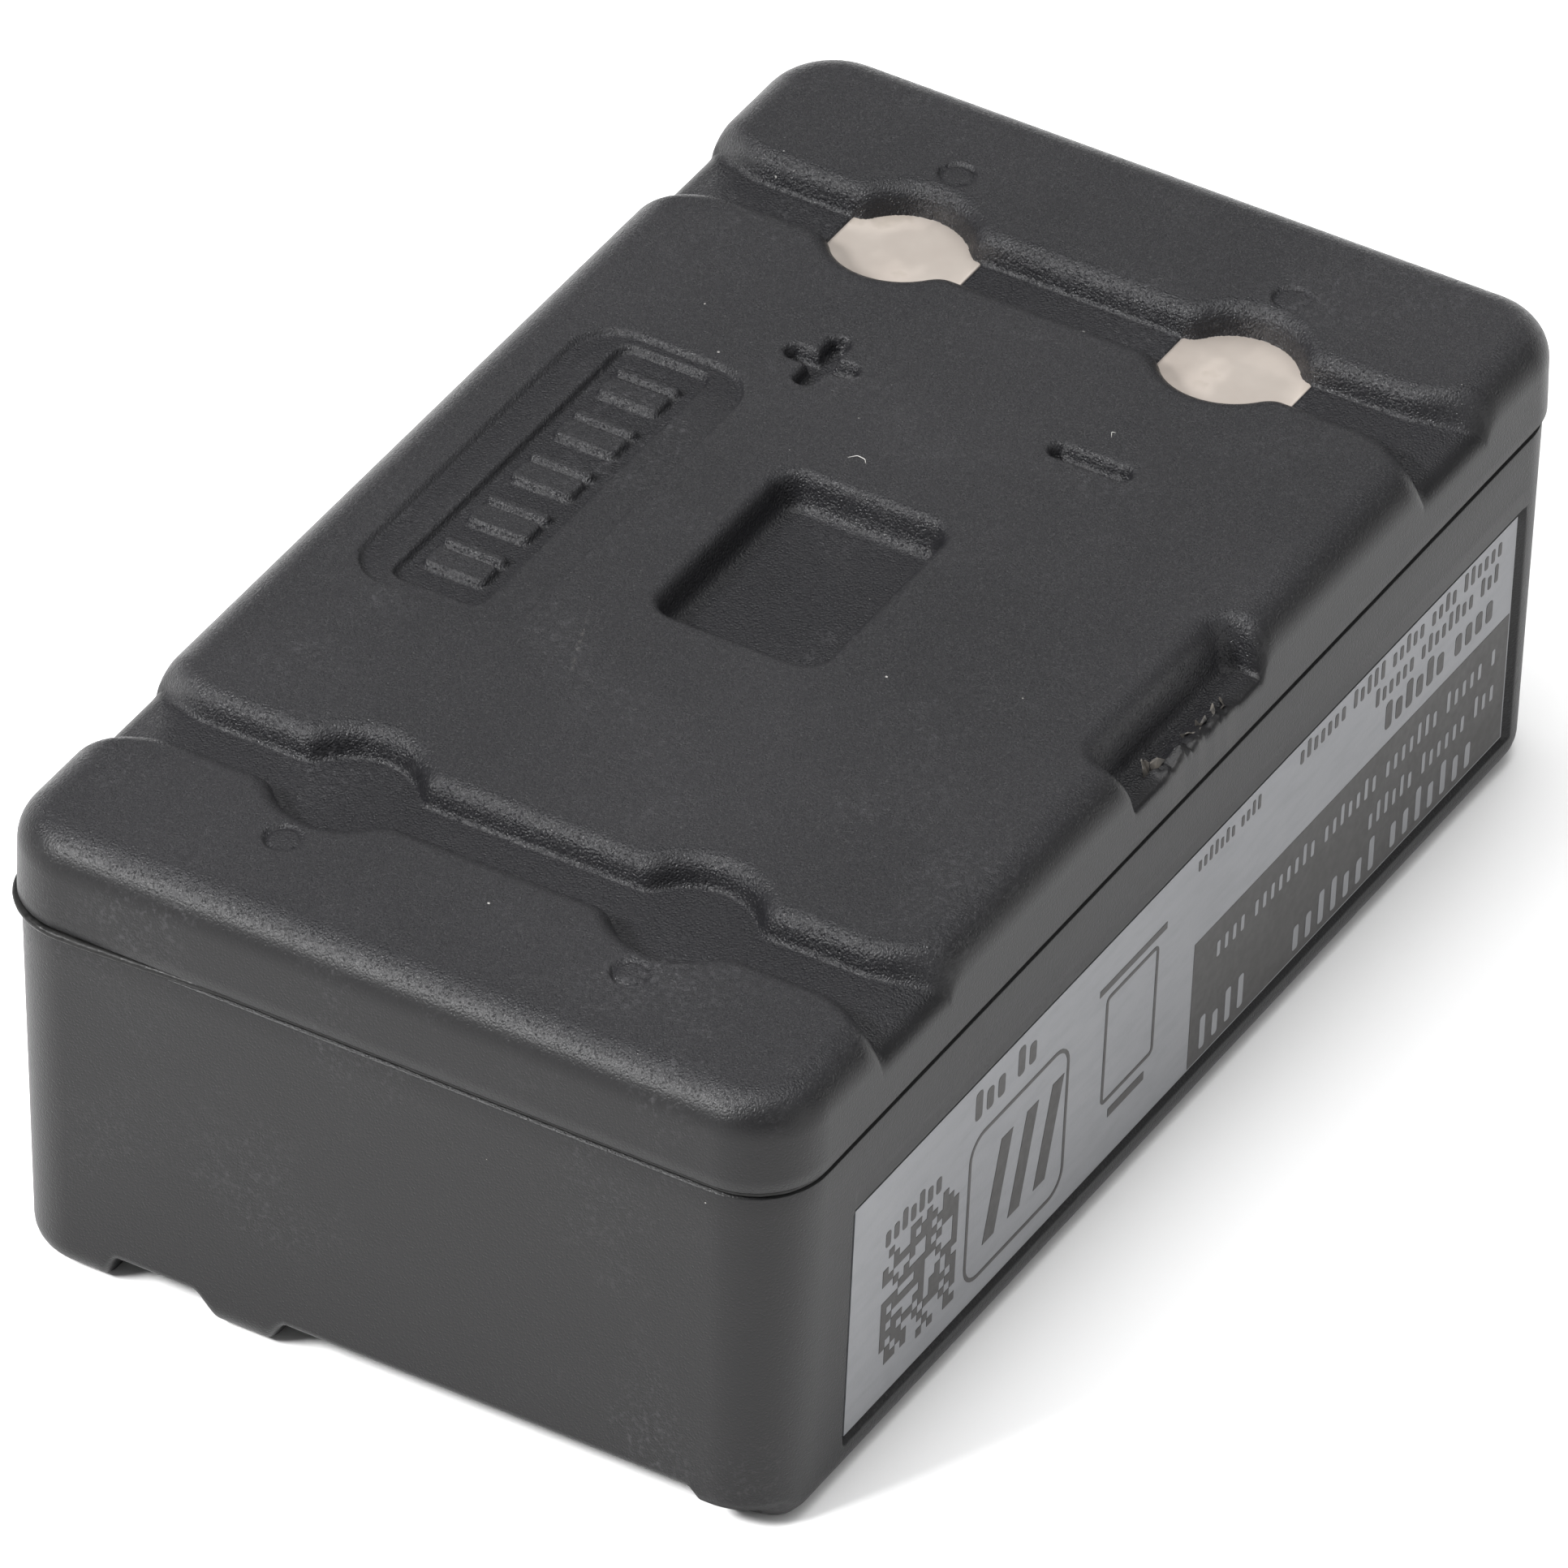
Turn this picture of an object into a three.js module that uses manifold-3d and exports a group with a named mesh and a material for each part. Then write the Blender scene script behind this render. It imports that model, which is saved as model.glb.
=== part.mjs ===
// Sealed two-cell rechargeable battery pack for a hand-held radio remote control.
// Millimetres, +Z up, origin at the bottom centre of the overall box.
// +X runs along the length toward the contacts, -Y is the labelled long side.
import * as THREE from 'three';
import { mergeVertices } from 'three/addons/utils/BufferGeometryUtils.js';
import Module from 'manifold-3d';

const wasm = await Module();
wasm.setup();

// ---- driving dimensions -------------------------------------------------
const L = 66.0;              // overall length, over the cover
const W = 38.4;              // overall width, over the cover
const RAIL = 1.55;           // height of the underside rails
const SEAM = 18.25;          // height of the parting line
const DECK = 22.85;          // height of the top deck
const COVER_OUT = 0.12;      // how far the cover stands out past the base
const BEAD_H = 0.5;          // height of the sealing bead
const DRAFT = 0.45;          // how far the base's foot stands in from its rim
const R_CORNER = 3.5;        // vertical corner radius of base and cover
const R_BOTTOM = 1.3;        // rounding of the base's lower edge
const R_TOP = 1.8;           // rounding of the cover's upper edge
const WALL = 1.7;            // side wall thickness
const FLOOR_T = 1.4;         // floor thickness of the base
const CH_X = 22.25;          // cross channel centre at the contact end
const CH_BLIND = -22.55;     // cross channel centre at the blind end
const CH_HALF = 1.6;         // half width of a cross channel
const CH_DEPTH = 1.35;       // depth of a cross channel
const SC_Y = 8.15;           // scallop and contact offset from their own centre line
const SC_Y0 = -0.1;          // that line's offset from the middle
const SC_R = 3.0;            // scallop radius
const POCKET = [11.8, 8.6, 1.7];      // latch pocket length, width, depth
const POCKET_C = [-0.45, -0.45];      // latch pocket centre
const POCKET_FLOOR = [9.6, 6.8];      // latch pocket floor
const CELL_R = 7.2;          // cell radius over its sleeve
const CELL_LEN = 49.5;       // cell length over its cap
const CELL_Y = 7.6;          // cell axis offset
const CELL_Z = 10.9;         // cell axis height
const CELL_X0 = -26.8;       // cell end nearest the blind channel
const LABEL = [55.5, 12.05, 0.2];      // label length, height, thickness

const CX0 = CELL_X0, CX1 = CELL_X0 + CELL_LEN;
const CH_Z = DECK - CH_DEPTH;
const BL = L - 2 * COVER_OUT, BW = W - 2 * COVER_OUT;
const seamLow = SEAM - BEAD_H / 2, seamHigh = SEAM + BEAD_H / 2;
const baseTop = seamLow - 0.05;

// ---- helpers ------------------------------------------------------------
const toM = (geo) => {
  const g0 = geo.clone();
  g0.deleteAttribute('normal');
  g0.deleteAttribute('uv');
  const g = mergeVertices(g0, 1e-4);
  return new wasm.Manifold(new wasm.Mesh({
    numProp: 3,
    vertProperties: new Float32Array(g.attributes.position.array),
    triVerts: new Uint32Array(g.index.array),
  }));
};
const fromM = (m) => {
  const k = m.getMesh();
  const g = new THREE.BufferGeometry();
  g.setAttribute('position', new THREE.BufferAttribute(new Float32Array(k.vertProperties), 3));
  g.setIndex(new THREE.BufferAttribute(new Uint32Array(k.triVerts), 1));
  g.computeVertexNormals();
  return g;
};
const rr = (w, h, r, cx = 0, cy = 0) => {
  const s = new THREE.Shape(), x0 = cx - w / 2, x1 = cx + w / 2, y0 = cy - h / 2, y1 = cy + h / 2;
  s.moveTo(x0 + r, y0); s.lineTo(x1 - r, y0); s.absarc(x1 - r, y0 + r, r, -Math.PI / 2, 0, false);
  s.lineTo(x1, y1 - r); s.absarc(x1 - r, y1 - r, r, 0, Math.PI / 2, false);
  s.lineTo(x0 + r, y1); s.absarc(x0 + r, y1 - r, r, Math.PI / 2, Math.PI, false);
  s.lineTo(x0, y0 + r); s.absarc(x0 + r, y0 + r, r, Math.PI, Math.PI * 1.5, false);
  return s;
};
const ext = (shape, z0, z1, seg = 6) => {
  const g = new THREE.ExtrudeGeometry(shape, { depth: z1 - z0, bevelEnabled: false, curveSegments: seg });
  g.translate(0, 0, z0);
  return g;
};
const extBevel = (shape, z0, z1, b, seg = 6, bs = 4) => {
  const g = new THREE.ExtrudeGeometry(shape, {
    depth: z1 - z0 - 2 * b, bevelEnabled: true, bevelThickness: b, bevelSize: b, bevelOffset: -b, bevelSegments: bs, curveSegments: seg });
  g.translate(0, 0, z0 + b);
  return g;
};
const box = (x0, x1, y0, y1, z0, z1) => {
  const g = new THREE.BoxGeometry(x1 - x0, y1 - y0, z1 - z0);
  g.translate((x0 + x1) / 2, (y0 + y1) / 2, (z0 + z1) / 2);
  return g;
};
// box whose lower face is smaller than its upper face
const taper = (x0, x1, y0, y1, z0, z1, dx0, dx1, dy0, dy1) => {
  const g = box(x0, x1, y0, y1, z0, z1), p = g.attributes.position;
  for (let i = 0; i < p.count; i++) {
    if (p.getZ(i) < (z0 + z1) / 2) {
      p.setX(i, p.getX(i) < (x0 + x1) / 2 ? x0 + dx0 : x1 - dx1);
      p.setY(i, p.getY(i) < (y0 + y1) / 2 ? y0 + dy0 : y1 - dy1);
    }
  }
  return g;
};
// pulls the wall in toward the foot, as the base's moulding draft does
const drafted = (g) => {
  const p = g.attributes.position;
  for (let i = 0; i < p.count; i++) {
    const d = DRAFT * Math.min(1, 1 - p.getZ(i) / baseTop), x = p.getX(i), y = p.getY(i);
    const ax = Math.abs(x) - (BL / 2 - R_CORNER), ay = Math.abs(y) - (BW / 2 - R_CORNER);
    const cx = ax > 0 && ay > 0 ? ax / Math.hypot(ax, ay) : ax > ay ? 1 : 0;
    const cy = ax > 0 && ay > 0 ? ay / Math.hypot(ax, ay) : ax > ay ? 0 : 1;
    p.setXY(i, x - Math.sign(x) * d * cx, y - Math.sign(y) * d * cy);
  }
  return g;
};
const cylZ = (r, x, y, z0, z1, seg = 28) => {
  const g = new THREE.CylinderGeometry(r, r, z1 - z0, seg);
  g.rotateX(Math.PI / 2);
  g.translate(x, y, (z0 + z1) / 2);
  return g;
};
const poly = (pts) => { const s = new THREE.Shape(); s.moveTo(...pts[0]); pts.slice(1).forEach((p) => s.lineTo(...p)); return s; };
// solid of revolution about the cell's axis: profile is [radius, distance along the cell from its closed end]
const lathe = (profile, seg = 32) => new THREE.LatheGeometry([...profile, profile[0]].map(([r, z]) => new THREE.Vector2(r, z)), seg);

const group = new THREE.Group();
group.name = 'battery_pack';
const add = (name, geo, color, roughness, metalness, extra = {}) => {
  const g = geo instanceof THREE.BufferGeometry ? geo : fromM(geo);
  const m = new THREE.Mesh(g, new THREE.MeshStandardMaterial({ color, roughness, metalness, ...extra }));
  m.name = name;
  group.add(m);
  return m;
};

const BLACK = 0x2b2b2e, SEAL = 0x131315, NICKEL = 0xd9cfc2, TIN = 0xb9bcc0;

// ---- housing base -------------------------------------------------------
{
  let m = toM(drafted(extBevel(rr(BL, BW, R_CORNER), 0, baseTop + 8, R_BOTTOM)));
  m = m.subtract(toM(box(-40, 40, -25, 25, baseTop, baseTop + 12)));
  // the underside is relieved between two edge rails and one keying rail
  m = m.subtract(toM(taper(-40, 40, -14.6, 5.3, -1, RAIL, 0, 0, -0.5, -0.5)));
  m = m.subtract(toM(taper(-40, 40, 9.4, 13.4, -1, RAIL, 0, 0, -0.5, -0.5)));
  // tub
  m = m.subtract(toM(ext(rr(BL - 2 * WALL, BW - 2 * WALL, R_CORNER - 1.2), RAIL + FLOOR_T, baseTop + 5)));
  // locating ribs for the cells at both ends of the tub
  for (const y of [-13.2, 0, 13.2]) {
    m = m.add(toM(box(-31.2, -29.6, y - 0.6, y + 0.6, RAIL + 1, 12.0)));
    m = m.add(toM(box(29.6, 31.2, y - 0.6, y + 0.6, RAIL + 1, 12.0)));
  }
  // label recess on the long side
  m = m.subtract(toM(drafted(box(-26.95, 29.2, -BW / 2 - 1, -BW / 2 + 0.42, 1.75, 14.4))));
  add('housing_base', m, BLACK, 0.5, 0.0);
}

// ---- sealing bead -------------------------------------------------------
{
  // bead that shows at the joint, with a tongue that locates inside both halves
  let m = toM(ext(rr(L - 0.1, W - 0.1, R_CORNER), seamLow, seamHigh));
  m = m.add(toM(ext(rr(BL - 2 * WALL - 0.3, BW - 2 * WALL - 0.3, R_CORNER - 1.35), seamLow - 1.0, seamHigh + 0.9)));
  m = m.subtract(toM(ext(rr(BL - 2 * WALL - 1.7, BW - 2 * WALL - 1.7, R_CORNER - 2.0), seamLow - 3, seamHigh + 3)));
  add('seam_seal', m, SEAL, 0.4, 0.0);
}

// ---- housing cover ------------------------------------------------------
const ceiling = DECK - 2.7;      // inner ceiling under channels and pocket
{
  let m = toM(extBevel(rr(BL + 2 * COVER_OUT, BW + 2 * COVER_OUT, R_CORNER), SEAM - 6, DECK, R_TOP, 7, 5));
  m = m.subtract(toM(box(-40, 40, -25, 25, SEAM - 12, seamHigh + 0.05)));
  // underside cavity, deeper under the plain parts of the deck
  const cav = rr(BL - 2 * WALL, BW - 2 * WALL, R_CORNER - 1.2);
  m = m.subtract(toM(ext(cav, SEAM - 5, ceiling)));
  for (const [x0, x1] of [[-18.2, -7.6], [7.6, 18.2]]) m = m.subtract(toM(box(x0, x1, -15.6, 6.9, ceiling - 1, DECK - 1.6)));
  for (const [x0, x1] of [[-29.6, -26.2], [26.2, 29.6]]) m = m.subtract(toM(box(x0, x1, -14.4, 14.4, ceiling - 1, DECK - 1.6)));
  // thicker web under the side notch
  m = m.add(toM(box(-7.6, 8.4, -17.7, -15.8, ceiling - 0.15, ceiling + 0.6)));
  // cross channels: straight run, two scallops, and a mouth that opens out at each long side
  for (const s of [-1, 1]) {
    const cx = s > 0 ? CH_X : CH_BLIND;
    let c = toM(taper(cx - CH_HALF - 0.25, cx + CH_HALF + 0.25, -20, 20, CH_Z, DECK + 0.4, 0.25, 0.25, 0, 0));
    for (const y of [SC_Y0 - SC_Y, SC_Y0 + SC_Y]) c = c.add(toM(cylZ(SC_R + 0.05, cx, y, CH_Z, DECK + 0.4, 32)));
    for (const t of [-1, 1]) {
      const a = t * 20, b = t * (W / 2 - 4.6), d = t * (W / 2 - 2.0);
      const pts = [[cx - 1.65, b], [cx + 1.65, b], [cx + 2.6, d], [cx + 3.6, a], [cx - 3.6, a], [cx - 2.6, d]];
      c = c.add(toM(ext(poly(t > 0 ? pts : pts.reverse()), CH_Z, DECK + 0.4)));
      // the channel floor falls away at the side
      const w = new THREE.CylinderGeometry(1.6, 1.6, 5.6, 20);
      w.rotateZ(Math.PI / 2);
      w.translate(cx, t * (BW / 2 + 0.75), CH_Z + 0.55);
      c = c.add(toM(w));
    }
    m = m.subtract(c);
  }
  // contact windows and the seats of their gaskets
  for (const t of [-1, 1]) {
    const y = SC_Y0 + t * SC_Y;
    m = m.subtract(toM(box(CH_X - CH_HALF, CH_X + CH_HALF, y - 3.2, y + 3.2, 10, DECK)));
    m = m.subtract(toM(cylZ(SC_R + 0.05, CH_X, y, 10, DECK, 32)));
    m = m.subtract(toM(box(CH_X - 4.4, CH_X + 4.4, y - 4.2, y + 4.2, ceiling - 1, ceiling + 0.5)));
  }
  // latch pocket with sloping walls
  const [pl, pw, pd] = POCKET, ix = (pl - POCKET_FLOOR[0]) / 2, iy = (pw - POCKET_FLOOR[1]) / 2;
  const up = 0.5, k = (pd + up) / pd;
  const pocket = taper(-pl / 2 - ix * (k - 1), pl / 2 + ix * (k - 1), -pw / 2 - iy * (k - 1), pw / 2 + iy * (k - 1),
    DECK - pd, DECK + up, ix * k, ix * k, iy * k, iy * k);
  pocket.translate(POCKET_C[0], POCKET_C[1], 0);
  m = m.subtract(toM(pocket));
  // side notch in the middle of the labelled edge
  m = m.subtract(toM(taper(-6.0, 7.0, -22, -17.0, 20.35, DECK + 0.5, 1.4, 1.2, 0, 0.5)));
  // recessed badge field with a deeper framed slot that holds five plain bars
  m = m.subtract(toM(ext(rr(20.5, 8.09, 2.1, -0.39, 11.75), DECK - 0.3, DECK + 1, 5)));
  {
    let f = toM(ext(rr(19.0, 4.38, 0.5, -0.2, 11.89), DECK - 0.65, DECK, 3));
    for (let i = 0; i < 5; i++) f = f.subtract(toM(box(-8.5 + i * 3.5, -8.5 + i * 3.5 + 2.6, 10.4, 13.4, DECK - 1, DECK + 1)));
    m = m.subtract(f);
  }
  // polarity marks
  const px = 12.47, py = 6.2;
  m = m.subtract(toM(ext(rr(4.1, 1.3, 0.55, px, py), DECK - 0.5, DECK + 1, 4)).add(toM(ext(rr(1.3, 3.9, 0.55, px, py), DECK - 0.5, DECK + 1, 4))));
  m = m.subtract(toM(ext(rr(1.2, 4.3, 0.5, 12.35, -7.05), DECK - 0.5, DECK + 1, 4)));
  // ejector marks
  for (const [x, y] of [[27.0, 8.1], [27.0, -8.5], [-27.5, 8.1], [-27.5, -8.55]]) m = m.subtract(toM(cylZ(0.78, x, y, DECK - 0.08, DECK + 1, 18)));
  add('housing_cover', m, BLACK, 0.55, 0.0);
}

// ---- rating label -------------------------------------------------------
add('rating_label', drafted(box(-26.62, -26.62 + LABEL[0], -BW / 2 + 0.15, -BW / 2 + 0.15 + LABEL[2], 2.05, 2.05 + LABEL[1])), 0x9fa1a6, 0.42, 0.35);

// ---- contacts -----------------------------------------------------------
for (const [tag, t] of [['pos', 1], ['neg', -1]]) {
  const y = SC_Y0 + t * SC_Y;
  // raised face that fills the window, on a flange under the cover
  let p = toM(box(CH_X - CH_HALF + 0.1, CH_X + CH_HALF - 0.1, y - 3.1, y + 3.1, ceiling - 0.2, CH_Z - 0.02))
    .add(toM(cylZ(SC_R - 0.1, CH_X, y, ceiling - 0.2, CH_Z - 0.02, 32)));
  p = p.add(toM(box(CH_X - 4.0, CH_X + 6.4, y - 3.9, y + 3.9, ceiling - 0.45, ceiling - 0.05)));
  add('contact_plate_' + tag, p, NICKEL, 0.32, 0.85);
  let s = toM(box(CH_X - 4.2, CH_X + 4.2, y - 4.0, y + 4.0, ceiling + 0.03, ceiling + 0.43));
  s = s.subtract(toM(box(CH_X - CH_HALF - 0.1, CH_X + CH_HALF + 0.1, y - 3.3, y + 3.3, ceiling - 2, ceiling + 1)).add(toM(cylZ(SC_R + 0.15, CH_X, y, ceiling - 2, ceiling + 1, 32))));
  add('contact_seal_' + tag, s, 0x1a1a1c, 0.9, 0.0);
}

// ---- cells --------------------------------------------------------------
// each profile is drawn from the closed end (0) to the cap end
const cell = (tag, y, capAtPlusX) => {
  const place = (g) => {
    g.rotateZ(-Math.PI / 2);                       // lathe axis now along +X
    if (!capAtPlusX) g.rotateZ(Math.PI);
    g.translate(capAtPlusX ? CX0 : CX1, y, CELL_Z);
    return g;
  };
  const body = CELL_LEN - 1.2;                     // length of the can
  const up = (prof, seg) => place(lathe(prof, seg));
  // drawn steel can with a crimped shoulder
  add(`cell_${tag}_can`, up([[0, 0], [6.5, 0], [7.0, 0.5], [7.0, body - 3.6], [6.7, body - 3.2], [7.0, body - 2.8], [7.0, body - 0.5], [6.5, body], [5.9, body],
    [5.9, body - 0.3], [6.5, body - 0.35], [6.7, body - 0.6], [6.7, body - 2.7], [6.4, body - 3.2], [6.7, body - 3.7], [6.7, 0.8], [6.3, 0.4], [0, 0.4]]), TIN, 0.35, 0.9);
  add(`cell_${tag}_electrode_roll`, up([[0.8, 0.9], [6.2, 0.9], [6.2, body - 5.0], [0.8, body - 5.0]], 28), 0x3b3a3c, 0.9, 0.0);
  add(`cell_${tag}_gasket`, up([[5.5, body - 2.6], [6.5, body - 2.6], [6.5, body - 0.55], [5.75, body - 0.45], [5.75, body - 0.75], [6.25, body - 0.8], [6.25, body - 2.2], [5.5, body - 2.2]], 28), 0x2d4f8a, 0.5, 0.0);
  add(`cell_${tag}_lid_plate`, up([[0, body - 2.0], [6.1, body - 2.0], [6.1, body - 1.5], [0, body - 1.5]], 28), TIN, 0.35, 0.9);
  add(`cell_${tag}_vent_plug`, up([[0, body - 1.4], [1.6, body - 1.4], [1.6, body + 0.3], [0, body + 0.3]], 18), 0x202022, 0.8, 0.0);
  add(`cell_${tag}_cap`, up([[2.2, body - 1.4], [5.0, body - 1.4], [5.0, body - 1.0], [2.7, body - 1.0], [2.7, body + 0.7], [0, body + 0.7], [0, body + 0.4], [2.2, body + 0.4]], 24), TIN, 0.3, 0.9);
  add(`cell_${tag}_end_washer`, up([[3.2, body + 0.1], [6.6, body + 0.1], [6.6, body + 0.35], [3.2, body + 0.35]], 28), 0xe9e6de, 0.8, 0.0);
  add(`cell_${tag}_sleeve`, up([[5.2, -0.25], [6.6, -0.25], [7.2, 0.2], [7.2, body + 0.35], [6.9, body + 0.55], [5.6, body + 0.55], [5.6, body + 0.42], [6.8, body + 0.42], [7.08, body + 0.1],
    [7.08, 0.3], [6.55, -0.12], [5.2, -0.12]]), 0x2f6f4a, 0.45, 0.0);
};
cell('a', CELL_Y, true);
cell('b', -CELL_Y, false);

// ---- inner conductors and packing --------------------------------------
const stripXZ = (pts, y0, y1) => {                 // profile in X-Z, extruded across Y
  const g = new THREE.ExtrudeGeometry(poly(pts), { depth: y1 - y0, bevelEnabled: false });
  g.rotateX(Math.PI / 2);
  g.translate(0, y1, 0);
  return g;
};
const under = ceiling - 0.75;                      // top run of the strips, against the contact flanges
// strip from the cap of cell a, up and under the + contact's flange
add('tab_positive', stripXZ([[23.0, 8.0], [23.2, 8.0], [23.2, under], [28.4, under], [28.4, under + 0.25], [23.0, under + 0.25]], CELL_Y - 2, CELL_Y + 2), NICKEL, 0.3, 0.9);
// cell b closed end: lower strip, fuse, upper strip
add('tab_negative_lower', box(23.05, 23.25, -CELL_Y - 2.5, -CELL_Y + 2.5, 5.0, 15.0), NICKEL, 0.3, 0.9);
add('thermal_fuse', toM(ext(rr(1.0, 5.0, 0.3, 23.85, -CELL_Y), 6.0, 14.0, 3)), 0xc98f2b, 0.5, 0.0);
add('tab_negative_upper', stripXZ([[24.45, 8.0], [24.65, 8.0], [24.65, under], [28.4, under], [28.4, under + 0.25], [24.45, under + 0.25]], -CELL_Y - 2, -CELL_Y + 2), NICKEL, 0.3, 0.9);
add('series_link', (() => {
  const s = rr(4.4, 2 * CELL_Y + 4.4, 1.2, 0, 0);
  const g = ext(s, 0, 0.2, 4);
  g.rotateY(Math.PI / 2);
  g.translate(CX0 - 0.55, 0, CELL_Z);
  return g;
})(), NICKEL, 0.3, 0.9);
add('cell_spacer', box(-26.0, 21.5, -0.25, 0.25, 3.5, 18.2), 0xd8d2c2, 0.9, 0.0);
add('floor_pad', box(-24.0, 20.0, -14.5, 14.5, RAIL + FLOOR_T + 0.03, RAIL + FLOOR_T + 0.43), 0x4b4b4e, 0.95, 0.0);
add('end_pad_near', box(-29.4, -27.6, -13.8, 13.8, 3.4, 16.8), 0x4b4b4e, 0.95, 0.0);
add('end_pad_far', box(25.6, 29.4, -13.8, 13.8, 3.4, 16.8), 0x4b4b4e, 0.95, 0.0);

export default group;
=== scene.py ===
import bpy
import math
import numpy as np
from mathutils import Matrix, Vector


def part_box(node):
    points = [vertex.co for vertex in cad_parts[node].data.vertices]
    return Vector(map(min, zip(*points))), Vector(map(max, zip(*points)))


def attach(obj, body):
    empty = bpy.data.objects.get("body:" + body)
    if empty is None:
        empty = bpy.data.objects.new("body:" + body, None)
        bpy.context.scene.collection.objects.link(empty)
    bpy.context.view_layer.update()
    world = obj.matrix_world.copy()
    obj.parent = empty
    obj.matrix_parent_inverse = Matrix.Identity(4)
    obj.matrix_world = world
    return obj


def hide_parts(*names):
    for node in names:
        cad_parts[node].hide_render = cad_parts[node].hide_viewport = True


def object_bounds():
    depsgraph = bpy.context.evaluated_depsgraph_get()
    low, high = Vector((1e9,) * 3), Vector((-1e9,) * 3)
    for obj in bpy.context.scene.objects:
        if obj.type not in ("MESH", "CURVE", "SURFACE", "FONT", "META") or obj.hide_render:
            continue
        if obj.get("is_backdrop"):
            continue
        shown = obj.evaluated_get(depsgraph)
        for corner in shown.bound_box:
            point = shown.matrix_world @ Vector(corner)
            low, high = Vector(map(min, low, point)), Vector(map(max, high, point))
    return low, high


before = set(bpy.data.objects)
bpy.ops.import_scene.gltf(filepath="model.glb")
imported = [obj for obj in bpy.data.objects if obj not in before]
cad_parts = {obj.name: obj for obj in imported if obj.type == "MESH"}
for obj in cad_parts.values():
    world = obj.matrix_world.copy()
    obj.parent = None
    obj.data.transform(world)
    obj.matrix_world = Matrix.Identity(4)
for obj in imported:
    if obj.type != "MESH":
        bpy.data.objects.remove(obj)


def plain(v):
    if isinstance(v, (int, float)):
        return float(v)
    return [plain(a) for a in v]


cad_box = plain(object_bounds())
rng = np.random.default_rng(11)

# ------------------------------------------------------------------ sizes, mm
lo_b, hi_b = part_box("housing_base")
lo_c, hi_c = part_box("housing_cover")
BHX, BHY = hi_b.x * 1000, hi_b.y * 1000          # base half length and half width at its rim
CHX, CHY = hi_c.x * 1000, hi_c.y * 1000          # cover half length and half width
RIM = hi_b.z * 1000                              # top of the base
CB = lo_c.z * 1000                               # foot of the cover
DECK = hi_c.z * 1000
lo_s, hi_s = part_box("seam_seal")
SHX, SHY = hi_s.x * 1000, hi_s.y * 1000
lo_p, hi_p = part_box("contact_plate_pos")
CH_Z = hi_p.z * 1000 + 0.02                      # floor of the cross channels
lo_l, hi_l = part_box("rating_label")
R = 3.5
R_TOP = 1.8
DEPTH = DECK - CH_Z
CX = 22.25                                       # channel centre at the contact end
CXB = -22.58                                     # channel centre at the blind end
SY0, SY = -0.1, 8.15
DRAFT = 0.45
FOOT_R = 1.3
LEVEL = 1.55
RIM += 0.1                                       # the joint's gap is narrow to the eye
CB -= 0.1


# ------------------------------------------------------------------ field maths
def sd_rr(x, y, cx, cy, hx, hy, r):
    qx = np.abs(x - cx) - hx + r
    qy = np.abs(y - cy) - hy + r
    return np.hypot(np.maximum(qx, 0), np.maximum(qy, 0)) + np.minimum(np.maximum(qx, qy), 0) - r


def smin(a, b, k):
    h = np.clip(0.5 + 0.5 * (b - a) / k, 0, 1)
    return b * (1 - h) + a * h - k * h * (1 - h)


def smooth(a, b, v):
    t = np.clip((v - a) / (b - a), 0, 1)
    return t * t * (3 - 2 * t)


def fil(d, r):
    """Drop of a quarter round of radius r at distance d inside an edge."""
    t = np.clip(r - d, 0, r)
    return r - np.sqrt(np.maximum(r * r - t * t, 0))


def rise(e, depth, rc, rf=0.0, w=0.12):
    """Height over a recess floor at distance e outside its foot: a hollow of rf, a steep wall, then a round of rc."""
    hv = np.maximum(depth - rc - rf, 0.0)
    t = np.zeros_like(e)
    if rf > 0:
        m = (e > 0) & (e <= rf)
        t = np.where(m, rf - np.sqrt(np.maximum(rf * rf - e * e, 0)), t)
    e1 = e - rf
    t = np.where((e1 > 0) & (e1 <= w), rf + hv * e1 / w, t)
    e2 = e1 - w
    q = np.clip(rc - e2, 0, rc)
    t = np.where((e2 > 0), rf + hv + np.sqrt(np.maximum(rc * rc - q * q, 0)), t)
    return np.minimum(t, depth)


def lattice(x, y, seed, cell):
    """Smooth value noise on a lattice of that cell size, from 0 to 1."""
    xs, ys = x / cell, y / cell
    x0, y0 = np.floor(xs).astype(int), np.floor(ys).astype(int)
    fx, fy = xs - x0, ys - y0
    fx, fy = fx * fx * (3 - 2 * fx), fy * fy * (3 - 2 * fy)

    def h(a, b):
        v = np.sin(a * 127.1 + b * 311.7 + seed * 74.7) * 43758.5453
        return v - np.floor(v)

    return (h(x0, y0) * (1 - fx) + h(x0 + 1, y0) * fx) * (1 - fy) + (h(x0, y0 + 1) * (1 - fx) + h(x0 + 1, y0 + 1) * fx) * fy


# ------------------------------------------------------------------ grids that follow a rounded outline
def lines(half, edge, inner):
    """Grid lines from -half to half: edge holds distances from the outline, inner gives the spacing at x."""
    a = half - edge[-1]
    pts = [-a]
    while pts[-1] < a:
        pts.append(pts[-1] + inner(pts[-1]))
    pts = np.array(pts)
    pts = -a + (pts + a) * (2 * a / (pts[-1] + a))
    left = -half + np.array(edge[:-1])
    return np.concatenate([left, pts, -left[::-1]])


def spacing(zones, base):
    def f(v):
        s = base
        for lo, hi, st in zones:
            if lo <= v <= hi:
                s = min(s, st)
        return s
    return f


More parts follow.
